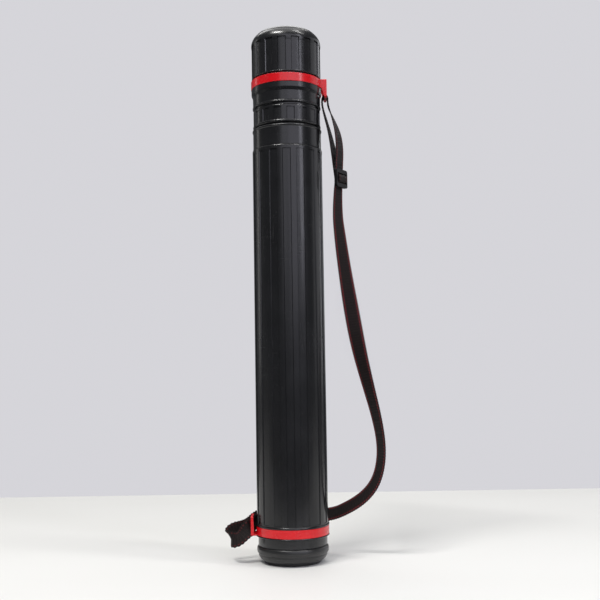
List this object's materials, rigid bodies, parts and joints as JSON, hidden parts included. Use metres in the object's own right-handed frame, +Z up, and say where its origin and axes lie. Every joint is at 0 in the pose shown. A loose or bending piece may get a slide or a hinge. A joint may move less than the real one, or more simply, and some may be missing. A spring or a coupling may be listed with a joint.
{
  "type": "telescopic drawing tube",
  "caption": "Telescopic plastic tube for rolled drawings, with a ribbed body, twist-lock neck, push-on cap, strap rings and an adjustable webbing shoulder strap",
  "frame": {"origin": "centre of the round foot, on the surface the tube stands on", "axes": "+Z up along the tube, +X towards the upper strap lug, -Y is the front"},
  "size_m": [0.1967, 0.0945, 0.641],
  "materials": {
    "black_plastic": "satin black moulded plastic with fine handling marks",
    "base_plastic": "satin black moulded plastic, scuffed at the foot",
    "red_plastic": "glossy signal-red moulded plastic",
    "guide_plastic": "matt dark slide-ring plastic",
    "slider_plastic": "black acetal with rounded edges",
    "webbing": "black ribbed polypropylene webbing with dark red tracer threads near both edges"
  },
  "bodies": {
    "outer": {"outer_tube": "black_plastic", "lock_collar": "black_plastic", "base_cap": "base_plastic", "strap_ring_lower": "red_plastic", "strap_end_loop": "webbing", "strap_run": "webbing"},
    "upper_ring": {"strap_ring_upper": "red_plastic", "strap_top_loop": "webbing"},
    "slider": {"strap_slider": "slider_plastic"},
    "inner": {"inner_tube": "black_plastic", "stop_ring": "guide_plastic", "guide_ring": "guide_plastic", "neck_grip": "black_plastic"},
    "cap": {"top_cap": "black_plastic"}
  },
  "joints": [
    {"name": "tube_extend", "type": "slide", "parent": "outer", "child": "upper_ring", "axis": [0, 0, 1], "range_m": [0, 0.36], "deforming": ["strap_run"]},
    {"name": "lock_twist", "type": "hinge", "parent": "upper_ring", "child": "inner", "pos_m": [0, 0, 0.55], "axis": [0, 0, 1], "range_deg": [0, 22.5]},
    {"name": "cap_pull", "type": "slide", "parent": "inner", "child": "cap", "axis": [0, 0, 1], "range_m": [0, 0.06]},
    {"name": "slider_adjust", "type": "slide", "parent": "upper_ring", "child": "slider", "axis": [0, 0, -1], "range_m": [0, 0.025], "deforming": ["strap_top_loop"]}
  ]
}
